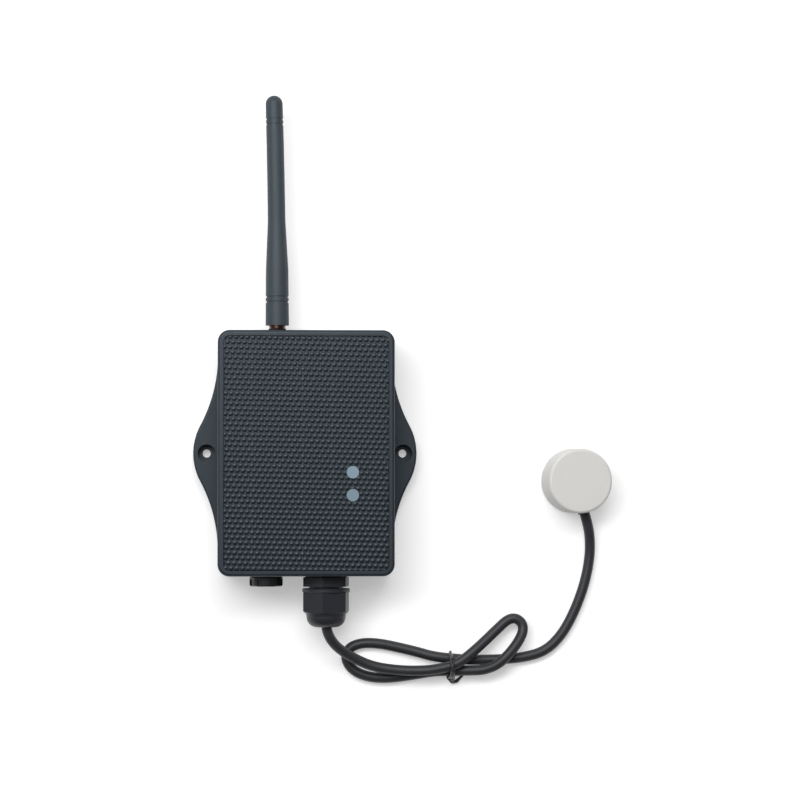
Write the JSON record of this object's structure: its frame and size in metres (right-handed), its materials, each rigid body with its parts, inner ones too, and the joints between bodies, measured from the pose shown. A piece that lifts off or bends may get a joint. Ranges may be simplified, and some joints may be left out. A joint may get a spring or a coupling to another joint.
{
  "type": "ultrasonic liquid level sensor",
  "caption": "Wall-mounted wireless tank level sensor: solar-fronted housing with ears, rubber aerial, cable gland and a round sensing head on a tied cable.",
  "frame": {"origin": "midway between the two wall-screw holes, on the housing's back face", "axes": "+Z out of the solar front, square to the wall; +Y along the housing towards the aerial's tip; +X to the right, towards the sensing head"},
  "size_m": [0.1873, 0.2631, 0.034],
  "materials": {
    "housing_plastic": "fine moulded texture, satin",
    "seal_rubber": "matt",
    "screw_steel": "satin",
    "insert_brass": "satin",
    "adhesive": "clear film",
    "solar_silicon": "dark blue-black silicon",
    "panel_front": "dimpled clear resin over dark cells",
    "milky_lens": "milky, satin",
    "switch_black": "moulded",
    "button_milk": "milky, satin",
    "led_white": "moulded",
    "board_green": "solder mask",
    "module_metal": "tinned shield",
    "contact_gold": "gold flash",
    "chip_black": "moulded",
    "terminal_green": "moulded",
    "capacitor_sleeve": "shrunk sleeve",
    "connector_white": "moulded",
    "cell_wrap": "shrunk sleeve",
    "strap_fabric": "woven",
    "tab_nickel": "nickel strip",
    "wire_red": "wire insulation",
    "jack_brass": "dull",
    "aerial_rubber": "satin moulded rubber",
    "ptfe": "moulded",
    "gland_nylon": "moulded nylon, satin",
    "vent_nylon": "moulded nylon, satin",
    "membrane": "porous film",
    "head_grey": "smooth moulded",
    "head_front": "satin",
    "piezo": "fired ceramic",
    "potting": "cast",
    "cable_jacket": "satin jacket",
    "tie_wire": "coated wire"
  },
  "bodies": {
    "housing": {"rear_case": "housing_plastic", "front_cover": "housing_plastic", "cover_gasket": "seal_rubber", "cover_inserts": "insert_brass", "case_screws": "screw_steel", "panel_adhesive": "adhesive", "solar_cells": "solar_silicon", "solar_laminate": "panel_front", "led_window": "milky_lens", "tact_switch": "switch_black", "status_led": "led_white", "main_board": "board_green", "board_screws": "screw_steel", "radio_module": "module_metal", "coax_socket": "contact_gold", "processor": "chip_black", "terminal_block": "terminal_green", "capacitor": "capacitor_sleeve", "battery_connector": "connector_white", "battery_cell": "cell_wrap", "battery_cradle": "switch_black", "battery_strap": "strap_fabric", "battery_tabs": "tab_nickel", "battery_leads": "wire_red", "aerial_jack": "jack_brass", "jack_seal": "seal_rubber", "jack_nut": "jack_brass", "aerial_pigtail": "cable_jacket", "gland_body": "gland_nylon", "gland_gasket": "seal_rubber", "gland_locknut": "gland_nylon", "gland_seal": "seal_rubber", "cable_tail": "cable_jacket", "vent_plug": "vent_nylon", "vent_seal": "seal_rubber", "vent_membrane": "membrane", "vent_locknut": "vent_nylon", "head_shell": "head_grey", "head_face_plate": "head_front", "piezo_disc": "piezo", "head_backing": "potting", "head_potting": "potting", "head_grommet": "seal_rubber", "head_tail": "cable_jacket", "cable_lead_in": "cable_jacket", "cable_hank": "cable_jacket", "cable_lead_out": "cable_jacket", "cable_tie": "tie_wire"},
    "button": {"button_cap": "button_milk", "switch_plunger": "switch_black"},
    "aerial": {"aerial_sheath": "aerial_rubber", "aerial_collar": "jack_brass", "aerial_insulator": "ptfe", "aerial_radiator": "insert_brass"},
    "gland_nut": {"gland_nut": "gland_nylon"}
  },
  "joints": [
    {"name": "button_press", "type": "slide", "parent": "housing", "child": "button", "axis": [0, 0, -1], "range_m": [0, 0.0006], "stiffness_N_per_m": 1500},
    {"name": "aerial_spin", "type": "hinge", "parent": "housing", "child": "aerial", "pos_m": [-0.01258, 0.05625, 0.017], "axis": [0, 1, 0], "continuous": true},
    {"name": "gland_nut_spin", "type": "hinge", "parent": "housing", "child": "gland_nut", "pos_m": [0.0092, -0.068, 0.017], "axis": [0, 1, 0], "continuous": true}
  ]
}
